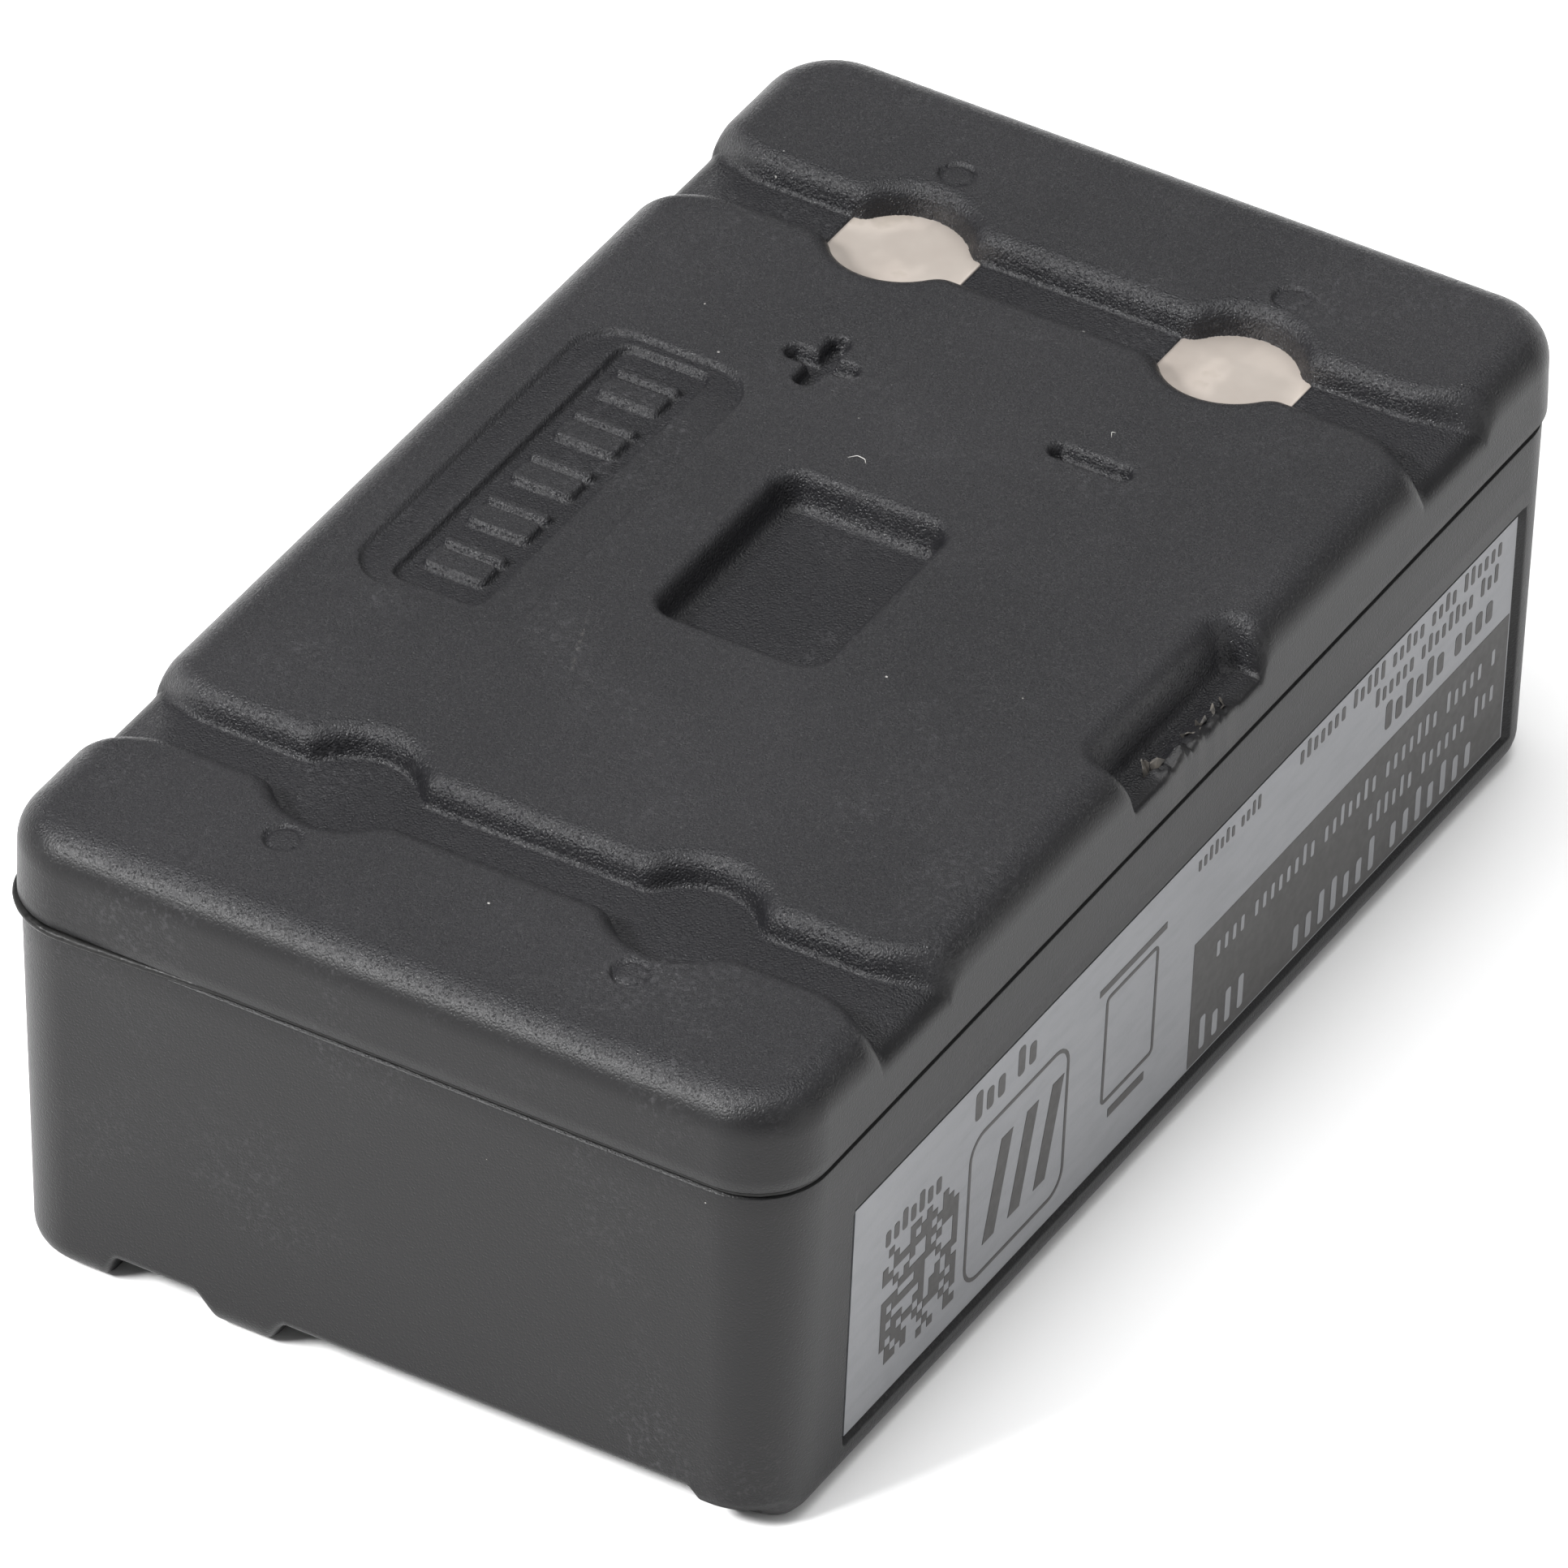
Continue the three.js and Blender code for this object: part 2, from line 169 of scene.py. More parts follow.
def outline_map(gx, gy, hx, hy, r):
    """Square grid to rounded-rectangle grid. Returns x, y and the distance inside the outline."""
    X, Y = np.meshgrid(gx, gy, indexing="ij")
    ax, ay = np.abs(X) - (hx - r), np.abs(Y) - (hy - r)
    corner = (ax > 0) & (ay > 0)
    m = np.maximum(ax, ay)
    n = np.minimum(ax, ay)
    ang = np.where(m > 0, n / np.maximum(m, 1e-9), 0) * (math.pi / 4)
    cx = np.where(ax >= ay, m * np.cos(ang), m * np.sin(ang))
    cy = np.where(ax >= ay, m * np.sin(ang), m * np.cos(ang))
    X2 = np.where(corner, np.sign(X) * (hx - r + cx), X)
    Y2 = np.where(corner, np.sign(Y) * (hy - r + cy), Y)
    d = np.where(corner, r - m, np.minimum(hx - np.abs(X), hy - np.abs(Y)))
    return X2, Y2, np.maximum(d, 0)


def outline_normal(X, Y, hx, hy, r):
    ax, ay = np.abs(X) - (hx - r), np.abs(Y) - (hy - r)
    c = (ax > 0) & (ay > 0)
    m = np.maximum(np.hypot(ax, ay), 1e-9)
    side = (hx - np.abs(X)) < (hy - np.abs(Y))
    nx = np.where(c, ax / m, np.where(side, 1.0, 0.0)) * np.sign(X)
    ny = np.where(c, ay / m, np.where(side, 0.0, 1.0)) * np.sign(Y)
    return nx, ny


def pull_in(X, Y, hx, hy, r, d):
    """Moulding draft: the outline moves inward by d, fading out toward the middle of the sheet."""
    nx, ny = outline_normal(X, Y, hx, hy, r)
    depth = np.minimum(hx - np.abs(X), hy - np.abs(Y))
    k = np.clip(1 - (depth - r) / 2.0, 0, 1)
    return X - nx * d * k, Y - ny * d * k


def border(nx, ny):
    """Grid indices round the edge, anticlockwise seen from above."""
    i = [(a, 0) for a in range(nx)] + [(nx - 1, b) for b in range(1, ny)]
    i += [(a, ny - 1) for a in range(nx - 2, -1, -1)] + [(0, b) for b in range(ny - 2, 0, -1)]
    return np.array(i)


def outward(P):
    """Unit outward normals of a closed anticlockwise outline."""
    t = np.roll(P, -1, 0) - np.roll(P, 1, 0)
    n = np.stack([t[:, 1], -t[:, 0]], 1)
    return n / np.maximum(np.linalg.norm(n, axis=1, keepdims=True), 1e-9)


def make(name, verts, faces, mat, smooth_shade=True):
    me = bpy.data.meshes.new(name)
    verts = np.asarray(verts, np.float32) * 0.001
    me.vertices.add(len(verts))
    me.vertices.foreach_set("co", verts.ravel())
    tot = [len(f) for f in faces] if isinstance(faces, list) else None
    if tot is None:
        n, k = faces.shape
        loops = faces.ravel()
        start = np.arange(n) * k
        total = np.full(n, k)
    else:
        loops = np.concatenate([np.asarray(f) for f in faces])
        total = np.array(tot)
        start = np.concatenate([[0], np.cumsum(total)[:-1]])
    me.loops.add(len(loops))
    me.loops.foreach_set("vertex_index", loops.astype(np.int32))
    me.polygons.add(len(total))
    me.polygons.foreach_set("loop_start", start.astype(np.int32))
    me.polygons.foreach_set("loop_total", total.astype(np.int32))
    me.update(calc_edges=True)
    me.validate()
    me.polygons.foreach_set("use_smooth", np.full(len(me.polygons), smooth_shade))
    ob = bpy.data.objects.new(name, me)
    bpy.context.scene.collection.objects.link(ob)
    me.materials.append(mat)
    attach(ob, "root")
    return ob


def paint(ob, name, values):
    a = ob.data.attributes.new(name, "FLOAT", "POINT")
    a.data.foreach_set("value", np.asarray(values, np.float32))


def shell(name, gx, gy, hx, hy, r, zfun, levels, wallfun, inner_wall, inner_z, up, mat, masks=None):
    """A closed tub or cover: a modelled face, walls that follow its outline, a rim and a plain hollow inside."""
    X, Y, D = outline_map(gx, gy, hx, hy, r)
    Z = zfun(X, Y, D)
    nx, ny = X.shape
    if not up:
        X3, Y3 = pull_in(X, Y, hx, hy, r, DRAFT * (1 - Z / RIM))
    else:
        X3, Y3 = X, Y
    V = [np.stack([X3.ravel(), Y3.ravel(), Z.ravel()], 1)]
    M = [masks(X.ravel(), Y.ravel(), Z.ravel(), D.ravel(), True)] if masks else None
    b = border(nx, ny)
    ring = b[:, 0] * ny + b[:, 1]
    P = np.stack([X[b[:, 0], b[:, 1]], Y[b[:, 0], b[:, 1]]], 1)
    z0 = Z[b[:, 0], b[:, 1]]
    N = outward(P)
    F = []
    i, j = np.meshgrid(np.arange(nx - 1), np.arange(ny - 1), indexing="ij")
    q = np.stack([i * ny + j, (i + 1) * ny + j, (i + 1) * ny + j + 1, i * ny + j + 1], -1).reshape(-1, 4)
    F.append(q if up else q[:, ::-1])
    rings = [ring]
    count = nx * ny

    def add_ring(xy, z, inside=False):
        nonlocal count
        V.append(np.stack([xy[:, 0], xy[:, 1], z], 1))
        if masks:
            M.append(masks(xy[:, 0], xy[:, 1], z, np.zeros(len(z)), not inside))
        idx = np.arange(count, count + len(xy))
        count += len(xy)
        a = rings[-1]
        s = np.stack([a, idx, np.roll(idx, -1), np.roll(a, -1)], 1)
        F.append(s if up else s[:, ::-1])
        rings.append(idx)

    for lv in levels:
        z = np.full(len(P), lv)
        eps = 0.015 * (levels.index(lv) + 1)
        z = np.minimum(z, z0 - eps) if up else np.maximum(z, z0 + eps)
        xy = wallfun(P, N, z)
        add_ring(xy, z)
    edge = rings[-1]
    last = V[-1]
    rim_z = last[:, 2]
    for off in (inner_wall * 0.5, inner_wall):
        add_ring(P - N * off, rim_z, True)
    for t in (0.5, 1.0):
        add_ring(P - N * inner_wall, rim_z + (inner_z - rim_z) * t, True)
    # close the hollow: a fan of triangles from the inner ring to one centre point
    centre = count
    V.append(np.array([[0, 0, inner_z]]))
    if masks:
        M.append(masks(np.zeros(1), np.zeros(1), np.full(1, inner_z), np.zeros(1), False))
    a = rings[-1]
    fan = np.stack([a, np.full(len(a), centre), np.roll(a, -1)], 1)
    quads = np.concatenate(F)
    faces = [*quads.tolist(), *(fan if up else fan[:, ::-1]).tolist()]
    ob = make(name, np.concatenate(V), faces, mat)
    if masks:
        m = np.concatenate(M)
        for c, nm in enumerate(("sides", "wear", "scuff")):
            paint(ob, nm, m[:, c])
    return ob


# ------------------------------------------------------------------ material helpers
class Nodes:
    def __init__(self, name):
        self.mat = bpy.data.materials.new(name)
        self.mat.use_nodes = True
        self.t = self.mat.node_tree
        self.b = next(n for n in self.t.nodes if n.type == "BSDF_PRINCIPLED")
        self.tc = self.t.nodes.new("ShaderNodeTexCoord")

    def link(self, a, b):
        self.t.links.new(a, b)

    def noise(self, scale, detail=2.0, rough=0.5, stretch=None, kind="noise", seed=0.0):
        src = self.tc.outputs["Object"]
        mp = self.t.nodes.new("ShaderNodeMapping")
        self.link(src, mp.inputs["Vector"])
        mp.inputs["Location"].default_value = (seed * 0.013, seed * 0.007, seed * 0.011)
        if stretch:
            mp.inputs["Scale"].default_value = stretch
        if kind == "noise":
            n = self.t.nodes.new("ShaderNodeTexNoise")
            n.inputs["Detail"].default_value = detail
            n.inputs["Roughness"].default_value = rough
            out = n.outputs["Fac"]
        else:
            n = self.t.nodes.new("ShaderNodeTexVoronoi")
            out = n.outputs["Distance"]
        n.inputs["Scale"].default_value = scale
        self.link(mp.outputs["Vector"], n.inputs["Vector"])
        return (out, n.outputs["Color"]) if kind != "noise" else out

    def ramp(self, src, stops):
        r = self.t.nodes.new("ShaderNodeValToRGB")
        self.link(src, r.inputs["Fac"])
        e = r.color_ramp.elements
        while len(e) < len(stops):
            e.new(0.5)
        for k, (p, c) in enumerate(stops):
            e[k].position = p
            e[k].color = (c, c, c, 1) if isinstance(c, (int, float)) else (*c, 1)
        return r.outputs["Color"]

    def math(self, op, a, b=None):
        m = self.t.nodes.new("ShaderNodeMath")
        m.operation = op
        for k, v in enumerate((a, b)):
            if v is None:
                continue
            if isinstance(v, (int, float)):
                m.inputs[k].default_value = v
            else:
                self.link(v, m.inputs[k])
        return m.outputs[0]

    def mix(self, fac, a, b):
        m = self.t.nodes.new("ShaderNodeMix")
        m.data_type = "RGBA"
        for k, v in ((0, fac), (6, a), (7, b)):
            if isinstance(v, (int, float)):
                m.inputs[k].default_value = v
            elif isinstance(v, tuple):
                m.inputs[k].default_value = (*v, 1) if len(v) == 3 else v
            else:
                self.link(v, m.inputs[k])
        return m.outputs[2]

    def attr(self, name):
        a = self.t.nodes.new("ShaderNodeAttribute")
        a.attribute_name = name
        return a.outputs["Fac"]

    def bump(self, height, strength, dist, prev=None):
        b = self.t.nodes.new("ShaderNodeBump")
        b.inputs["Strength"].default_value = strength
        b.inputs["Distance"].default_value = dist
        self.link(height, b.inputs["Height"])
        if prev is not None:
            self.link(prev, b.inputs["Normal"])
        return b.outputs["Normal"]

    def set(self, **kw):
        for k, v in kw.items():
            s = self.b.inputs[{"color": "Base Color", "rough": "Roughness", "metal": "Metallic", "normal": "Normal",
                               "spec": "Specular IOR Level", "coat": "Coat Weight", "coat_rough": "Coat Roughness"}[k]]
            if isinstance(v, (int, float)):
                s.default_value = v
            elif isinstance(v, tuple):
                s.default_value = (*v, 1)
            else:
                self.link(v, s)
        return self.mat


def case_plastic():
    n = Nodes("case_plastic")
    sides, wear, scuff = n.attr("sides"), n.attr("wear"), n.attr("scuff")
    big = n.noise(60, 3)
    mid = n.noise(420, 3, seed=2)
    fine = n.noise(9500, 2.5, 0.6, seed=3)
    col = n.mix(n.ramp(big, [(0.3, 0.0), (0.7, 1.0)]), (0.0085, 0.0085, 0.0097), (0.0130, 0.0128, 0.0143))
    # painted shade: the walls and the rounded deck edges ('sides') get a darker colour than the deck though they are
    # the same plastic, darkening them where the bright floor lights them
    col = n.mix(sides, col, (0.0050, 0.0049, 0.0054))
    # thin settled dust, in patches
    patch = n.ramp(n.noise(130, 4, 0.6, seed=12), [(0.50, 0.0), (0.72, 1.0)])
    dusty = n.math("MULTIPLY", patch, n.ramp(n.noise(3600, 3, 0.7, seed=14), [(0.52, 0.0), (0.70, 1.0)]))
    col = n.mix(n.math("MULTIPLY", dusty, 0.20), col, (0.16, 0.158, 0.165))
    col = n.mix(n.math("MULTIPLY", wear, 0.30), col, (0.085, 0.083, 0.082))
    col = n.mix(scuff, col, (0.30, 0.285, 0.26))
    vd, vc = n.noise(1150, kind="voronoi", seed=5)
    sep = n.t.nodes.new("ShaderNodeSeparateColor")
    n.link(vc, sep.inputs["Color"])
    rare = n.math("GREATER_THAN", sep.outputs["Red"], 0.955)
    dot = n.math("LESS_THAN", vd, n.math("MULTIPLY", sep.outputs["Green"], 0.09))
    speck = n.math("MULTIPLY", rare, dot)
    col = n.mix(n.math("MULTIPLY", speck, 0.5), col, (0.45, 0.44, 0.42))
    rough = n.mix(n.ramp(mid, [(0.35, 0.0), (0.65, 1.0)]), (0.29, 0.29, 0.29), (0.335, 0.335, 0.335))
    glint = n.ramp(n.noise(7600, 2, 0.5, seed=16), [(0.50, 0.0), (0.60, 1.0)])
    rough = n.mix(n.math("MULTIPLY", glint, 0.9), rough, (0.17, 0.17, 0.17))
    rough = n.mix(sides, rough, (0.42, 0.42, 0.42))
    rough = n.mix(dusty, rough, (0.7, 0.7, 0.7))
    pits, _ = n.noise(6200, kind="voronoi", seed=8)
    g1 = n.math("ADD", fine, n.math("MULTIPLY", n.ramp(pits, [(0.0, 0.0), (0.4, 1.0)]), 0.45))
    keep = n.math("SUBTRACT", 1.0, n.math("MULTIPLY", sides, 0.72))
    normal = n.bump(n.math("MULTIPLY", g1, keep), 0.8, 0.00009)
    wave = n.noise(95, 2, seed=9)
    normal = n.bump(wave, 0.25, 0.00012, normal)
    return n.set(color=col, rough=rough, normal=normal, spec=0.25)


def simple(name, c0, c1, r0, r1, metal=0.0, scale=900, bump=0.25, dist=0.00004, stretch=None, detail=3.0, spec=None, coat=None):
    n = Nodes(name)
    a = n.noise(scale, detail, stretch=stretch)
    b = n.noise(scale * 0.13, 2, seed=4)
    f = n.ramp(n.math("ADD", n.math("MULTIPLY", a, 0.5), n.math("MULTIPLY", b, 0.5)), [(0.36, 0.0), (0.64, 1.0)])
    kw = dict(color=n.mix(f, c0, c1), rough=n.mix(f, (r0,) * 3, (r1,) * 3), metal=metal, normal=n.bump(a, bump, dist))
    if spec is not None:
        kw["spec"] = spec
    if coat is not None:
        kw["coat"] = coat
    return n.set(**kw)


def contact_metal():
    n = Nodes("contact_nickel")
    base = n.noise(210, 4, 0.6)
    smudge = n.noise(330, 3, 0.55, seed=7)
    lines_ = n.noise(2600, 3, 0.6, stretch=(0.05, 1.0, 1.0), seed=1)
    col = n.mix(n.ramp(base, [(0.35, 0.0), (0.7, 1.0)]), (0.47, 0.415, 0.372), (0.54, 0.486, 0.438))
    col = n.mix(n.ramp(smudge, [(0.60, 0.0), (0.66, 0.55)]), col, (0.355, 0.31, 0.265))
    rough = n.mix(n.ramp(smudge, [(0.45, 0.0), (0.7, 1.0)]), (0.34, 0.34, 0.34), (0.52, 0.52, 0.52))
    normal = n.bump(lines_, 0.10, 0.00002)
    return n.set(color=col, rough=rough, metal=0.72, normal=normal)


def label_film():
    n = Nodes("label_foil")
    streak = n.noise(1500, 3, 0.6, stretch=(0.25, 1.0, 1.0))
    soft = n.noise(90, 2, seed=3)
    col = n.mix(n.ramp(soft, [(0.3, 0.0), (0.7, 1.0)]), (0.160, 0.163, 0.172), (0.187, 0.190, 0.199))
    col = n.mix(n.ramp(streak, [(0.45, 0.0), (0.75, 0.25)]), col, (0.120, 0.123, 0.131))
    fine = n.noise(7000, 2, seed=6)
    return n.set(color=col, rough=n.mix(streak, (0.36,) * 3, (0.46,) * 3), metal=0.35, normal=n.bump(fine, 0.12, 0.00003))


MAT_CASE = case_plastic()
MAT_SEAL = simple("seal_black", (0.004, 0.004, 0.004), (0.008, 0.0078, 0.0076), 0.34, 0.6, scale=2600, bump=0.8, dist=0.00006, spec=0.22)
MAT_CONTACT = contact_metal()
MAT_LABEL = label_film()
MAT_INK = simple("label_ink", (0.016, 0.0145, 0.014), (0.022, 0.020, 0.019), 0.46, 0.58, scale=2500, bump=0.12, dist=0.00002)
MAT_INK_LIGHT = simple("label_ink_light", (0.135, 0.138, 0.146), (0.16, 0.163, 0.17), 0.40, 0.5, scale=2500, bump=0.1, dist=0.00002)
MAT_RUBBER = simple("gasket_black", (0.013, 0.013, 0.013), (0.022, 0.022, 0.022), 0.75, 0.9, scale=1800)
MAT_STRIP = simple("nickel_strip", (0.60, 0.57, 0.52), (0.70, 0.67, 0.62), 0.26, 0.40, metal=0.95, scale=1400, stretch=(0.2, 1, 1), bump=0.12)
MAT_STEEL = simple("plated_steel", (0.50, 0.51, 0.52), (0.60, 0.61, 0.62), 0.25, 0.40, metal=0.95, scale=1200, stretch=(0.15, 1, 1), bump=0.12)
MAT_FUSE = simple("fuse_wrap", (0.50, 0.28, 0.05), (0.60, 0.36, 0.08), 0.42, 0.55)
MAT_CARD = simple("insulating_card", (0.62, 0.58, 0.47), (0.72, 0.69, 0.58), 0.8, 0.95, scale=2600, bump=0.4)
MAT_FOAM = simple("foam_black", (0.05, 0.05, 0.052), (0.085, 0.085, 0.088), 0.9, 1.0, scale=2200, bump=0.8, dist=0.0001)
MAT_ROLL = simple("electrode_black", (0.03, 0.03, 0.031), (0.055, 0.053, 0.054), 0.85, 0.95, scale=2400, bump=0.6)
MAT_NYLON = simple("cell_nylon", (0.025, 0.07, 0.22), (0.035, 0.09, 0.27), 0.35, 0.5)
MAT_SLEEVE = simple("shrink_film", (0.022, 0.13, 0.055), (0.035, 0.17, 0.075), 0.3, 0.42, scale=700)
MAT_BURR = simple("torn_plastic", (0.012, 0.0115, 0.011), (0.075, 0.066, 0.055), 0.6, 0.8, scale=3000, bump=0.8)

# carried-over CAD nodes
for nm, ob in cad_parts.items():
    if nm.endswith(("_can", "_cap", "_lid_plate")):
        m = MAT_STEEL
    elif nm.startswith("contact_plate"):
        m = MAT_CONTACT
    elif nm.startswith("contact_seal") or nm.endswith("vent_plug"):
        m = MAT_RUBBER
    elif nm.startswith("tab_") or nm == "series_link":
        m = MAT_STRIP
    elif nm == "thermal_fuse":
        m = MAT_FUSE
    elif nm == "cell_spacer" or nm.endswith("end_washer"):
        m = MAT_CARD
    elif "pad" in nm:
        m = MAT_FOAM
    elif nm.endswith("electrode_roll"):
        m = MAT_ROLL
    elif nm.startswith("cell_") and nm.endswith("_gasket"):
        m = MAT_NYLON
    elif nm.endswith("_sleeve"):
        m = MAT_SLEEVE
    elif nm == "rating_label":
        m = MAT_LABEL
    elif nm == "seam_seal":
        m = MAT_SEAL
    else:
        m = MAT_CASE
    ob.data.materials.clear()
    ob.data.materials.append(m)

# ------------------------------------------------------------------ cover
ph = np.linspace(math.pi / 2, 0, 13)
edge_c = list(R_TOP * (1 - np.sin(ph))) + list(np.linspace(R_TOP, R, 15)[1:])
gx = lines(CHX, edge_c, spacing([(-28.6, -26.4, 0.085), (26.0, 28.1, 0.085), (-26.4, -18.7, 0.09), (18.3, 26.1, 0.09), (-11.2, 15.2, 0.095)], 0.2))
gy = lines(CHY, edge_c, spacing([(-12.0, -3.9, 0.095), (3.0, 16.0, 0.095), (-16.6, -12.0, 0.13), (-3.9, 3.0, 0.13)], 0.2))

BADGE = (-0.39, 11.75)


def channel_sd(X, Y, cx):
    half = 1.32 + 0.95 * smooth(CHY - 3.4, CHY, np.abs(Y))
    strip = np.abs(X - cx) - half
    e = strip
    for sy in (SY0 - SY, SY0 + SY):
        e = smin(e, np.hypot(X - cx, Y - sy) - 2.95, 0.5)
    return e


def cover_z(X, Y, D):
    dome = DECK - fil(D, R_TOP)
    # slight crown and sink of the moulding
    Z = dome + 0.012 * (lattice(X, Y, 3, 9.0) - 0.5)
    # cross channels
    for cx in (CXB, CX):
        e = channel_sd(X, Y, cx)
        t = np.clip((np.abs(Y) - (CHY - 4.6)) / 4.6, 0, 1)
        rc = 0.95 + 0.33 * t * t
        w = 0.12 + 0.35 * t * t
        fl = CH_Z - fil(D, 0.85) - 0.35 * smooth(2.6, 0.0, D)
        hv = np.maximum(DEPTH - rc, 0)
        t1 = np.clip(e / w, 0, 1) * hv
        q = np.clip(rc - (e - w), 0, rc)
        t2 = np.where(e > w, hv + np.sqrt(np.maximum(rc * rc - q * q, 0)), t1)
        f = np.minimum(np.where(e > 0, t2, 0) / DEPTH, 1)
        Z = np.minimum(Z, fl + (Z - fl) * f)
    # seats of the contacts: the surface drops under the plates
    for sy in (SY0 - SY, SY0 + SY):
        e = channel_sd(X, Y, CX)
        inside = (e < -0.02) & (np.abs(Y - sy) < 3.2)
        Z = np.where(inside, CH_Z - 0.35, Z)
    # latch pocket
    e = sd_rr(X, Y, -0.42, -0.46, 6.12 - 1.22, 4.52 - 1.22, 0.4)
    pd = 1.66
    Z = np.minimum(Z, DECK - pd + rise(e, pd, 0.52, 0.55, 0.15) + np.where(e > 1.3, 9, 0))
    # notch in the labelled edge
    e = sd_rr(X, Y, 0.55, -22.4, 5.3, 5.05, 0.6)
    nd = 2.4
    fl = DECK - nd - fil(D, 0.3)
    f = rise(e, nd, 0.85, 0.0, 0.3) / nd
    ragged = 0.35 * (lattice(X, Y, 21, 0.55) - 0.5) + 0.25 * (lattice(X, Y, 22, 0.23) - 0.5)
    lip = smooth(1.3, 0.1, D) * smooth(0.4, -0.4, e)
    tear = lip * smooth(-1.2, 0.2, X) * smooth(4.2, 2.6, X)
    tear2 = lip * smooth(-2.4, -1.6, X) * smooth(0.6, -0.4, X)
    fl = fl + tear * (0.22 + 0.8 * ragged) + tear2 * (0.3 + 1.1 * ragged)
    Z = np.minimum(Z, fl + np.maximum(Z - fl, 0) * f)
    # badge field, framed slot, plain bars
    e = sd_rr(X, Y, *BADGE, 10.25, 4.05, 2.1)
    Z = Z - (0.24 - np.minimum(rise(np.maximum(e, 0), 0.24, 0.1, 0, 0.05), 0.24)) * (e < 0.2)
    e = sd_rr(X, Y, -0.2, 11.89, 9.45, 2.15, 0.55)
    slot_d = 0.34 - np.minimum(rise(np.maximum(e, 0), 0.34, 0.1, 0, 0.06), 0.34)
    bars = np.zeros_like(X)
    for k in range(5):
        bx = -7.2 + k * 3.5
        b = sd_rr(X, Y, bx - 0.34, 11.89, 0.66, 1.5, 0.3)
        b = np.minimum(b, sd_rr(X, Y, bx + 0.86, 11.89, 0.26, 1.5, 0.2))
        bars = np.maximum(bars, smooth(0.06, -0.06, b))
    Z = Z - slot_d * (e < 0.22) * (1 - bars)
    # polarity marks
    def bar(cx, cy, hx, hy):
        return sd_rr(X, Y, cx, cy, hx, hy, min(hx, hy) - 0.02)
    plus = smin(bar(12.47, 6.2, 1.70, 0.32), bar(12.47, 6.2, 0.32, 1.58), 0.12)
    for e in (plus, bar(12.37, -7.05, 0.30, 1.80)):
        Z = np.minimum(Z, DECK - 0.8 + rise(e, 0.8, 0.30, 0.0, 0.12) + np.where(e > 0.45, 9, 0))
    # ejector pin witness marks
    for k, (ex, ey) in enumerate([(27.03, 8.09), (26.94, -8.49), (-27.5, 8.11), (-27.53, -8.56)]):
        rr_ = np.hypot(X - ex, Y - ey)
        a = np.arctan2(Y - ey, X - ex)
        arc = 0.35 + 0.65 * smooth(-0.2, 0.6, np.cos(a - 0.6 - 0.5 * k))
        Z = Z - 0.20 * np.exp(-((rr_ - 0.78) / 0.08) ** 2) * arc - 0.05 * (rr_ < 0.74)
    return Z


def cover_wall(P, N, z):
    out = 0.02 * np.clip((DECK - R_TOP - z) / 2.0, 0, 1)
    out = out - 0.10 * np.clip((CB + 0.1 - z) / 0.1, 0, 1)
    return P + N * out[:, None]


def cover_masks(X, Y, Z, D, top):
    n = len(X)
    sides = smooth(1.1, 0.2, D) if top else np.ones(n)
    wear = np.zeros(n)
    scuff = np.zeros(n)
    if top:
        # fine rubbed streaks on the deck
        def streak(x0, y0, x1, y1, w, s):
            ax, ay = x1 - x0, y1 - y0
            L2 = ax * ax + ay * ay
            t = np.clip(((X - x0) * ax + (Y - y0) * ay) / L2, 0, 1)
            dd = np.hypot(X - x0 - t * ax, Y - y0 - t * ay)
            return s * np.exp(-(dd / w) ** 2) * (lattice(X, Y, 31, 0.16) > 0.52) * np.sin(np.pi * np.clip(t, 0.02, 0.98))
        on_deck = (np.abs(X) < 20.3)
        scuff = np.maximum(scuff, on_deck * streak(-12.6, 3.6, -7.4, 5.6, 0.05, 0.12))
        lipz = smooth(0.35, 0.0, D) * smooth(DECK - 1.6, DECK - 2.1, Z) * smooth(7.5, 6.5, np.abs(X))
        tear = smooth(-1.2, 0.2, X) * smooth(4.4, 2.9, X) + smooth(-2.6, -1.8, X) * smooth(0.2, -0.6, X)
        scuff = np.maximum(scuff, 0.02 * lipz * np.clip(tear, 0, 1) * (lattice(X, Y, 41, 0.3) > 0.45))
    return np.stack([sides, wear, scuff], 1)


cover = shell("cover_shell", gx, gy, CHX, CHY, R, cover_z, [DECK - 2.75, DECK - 3.0, DECK - 3.3, DECK - 3.7, CB + 0.12, CB + 0.05, CB], cover_wall, 1.5, DECK - 3.3, True, MAT_CASE, cover_masks)
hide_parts("housing_cover")

# ------------------------------------------------------------------ base
edge_b = list(FOOT_R * (1 - np.sin(np.linspace(math.pi / 2, 0, 9)))) + list(np.linspace(FOOT_R, R, 8)[1:])
LX0, LX1, LZ0, LZ1 = -26.95, 29.2, 1.78, 14.42
gx = lines(BHX, edge_b, spacing([(-27.4, -26.5, 0.06), (28.7, 29.3, 0.06)], 0.4))
gy = lines(BHY, edge_b, spacing([(-15.3, -13.4, 0.1), (4.6, 6.6, 0.09), (7.8, 10.0, 0.09), (12.9, 14.8, 0.09)], 0.4))
# exact columns at the label recess ends
for v in (LX0, LX1):
    k = int(np.argmin(np.abs(gx - v)))
    if 1 < k < len(gx) - 2 and abs(abs(gx[k]) - (BHX - R)) > 1e-6:
        gx[k] = v


